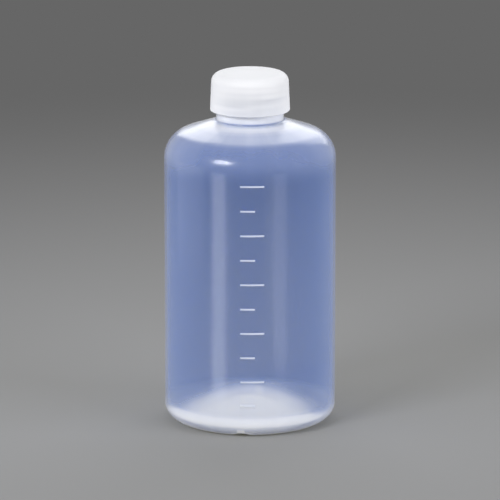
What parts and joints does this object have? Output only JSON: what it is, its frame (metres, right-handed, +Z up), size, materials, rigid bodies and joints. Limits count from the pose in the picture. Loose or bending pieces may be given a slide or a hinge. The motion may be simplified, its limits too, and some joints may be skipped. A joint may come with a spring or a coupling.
{
  "type": "reagent bottle",
  "caption": "Translucent cylindrical reagent bottle with a sloped shoulder, raised volume marks, a threaded neck, a smooth screw cap and a plug stopper.",
  "frame": {"origin": "middle of the foot ring, on the surface that the bottle stands on", "axes": "+Z up along the bottle's axis, through the mouth; the mould's parting plane is X = 0, and the volume marks are on the -Y side"},
  "size_m": [0.0776, 0.0779, 0.1603],
  "materials": {
    "bottle": "milky bluish translucent plastic, satin gloss",
    "cap": "white translucent plastic, satin gloss",
    "stopper": "soft natural white plastic"
  },
  "bodies": {
    "bottle": {"bottle_body": "bottle"},
    "stopper": {"inner_stopper": "stopper"},
    "cap": {"screw_cap": "cap"}
  },
  "joints": [
    {"name": "stopper_lift", "type": "slide", "parent": "bottle", "child": "stopper", "axis": [0, 0, 1], "range_m": [0, 0.018]},
    {"name": "cap_turn", "type": "hinge", "parent": "stopper", "child": "cap", "pos_m": [0, 0, 0.15], "axis": [0, 0, 1], "range_deg": [0, 1620]}
  ],
  "couplings": [
    {"joint": "stopper_lift", "follows": "cap_turn", "m_per_rad": 0.0006366}
  ]
}
